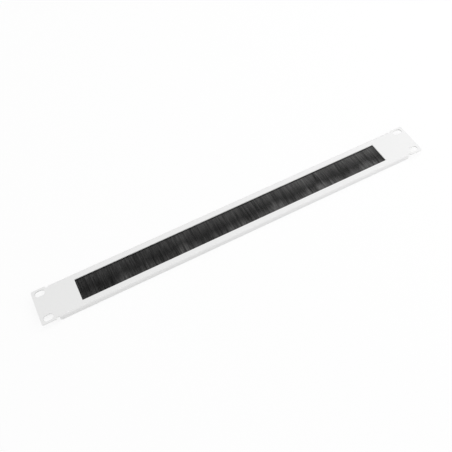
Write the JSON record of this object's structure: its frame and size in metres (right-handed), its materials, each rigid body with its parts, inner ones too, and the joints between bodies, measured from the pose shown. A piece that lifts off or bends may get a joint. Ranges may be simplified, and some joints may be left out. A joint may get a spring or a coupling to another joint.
{
  "type": "rack brush strip panel",
  "caption": "Folded steel rack panel, one unit high, with a long window closed by a strip brush that cables pass through.",
  "frame": {"origin": "middle of the plane that the folded edges stand on, with the panel lying on its back", "axes": "+X along the panel, +Y towards its upper edge, +Z out of its front face"},
  "size_m": [0.4826, 0.0436, 0.006],
  "materials": {
    "panel_paint": "light grey powder coat, fine texture, semi-matt",
    "holder_alloy": "mill finish with fine extrusion lines",
    "zinc_sheet": "zinc-plated, faint spangle",
    "channel_steel": "galvanised strip, crimped",
    "wire_steel": "drawn wire",
    "filament_nylon": "black nylon filaments with a soft sheen",
    "fastener_zinc": "bright zinc"
  },
  "bodies": {
    "root": {"front_panel": "panel_paint", "brush_holder": "holder_alloy", "left_clamp": "zinc_sheet", "right_clamp": "zinc_sheet", "brush_channel": "channel_steel", "core_wire": "wire_steel", "bristles": "filament_nylon", "weld_studs": "fastener_zinc", "flat_washers": "fastener_zinc", "hex_nuts": "fastener_zinc"}
  },
  "joints": []
}
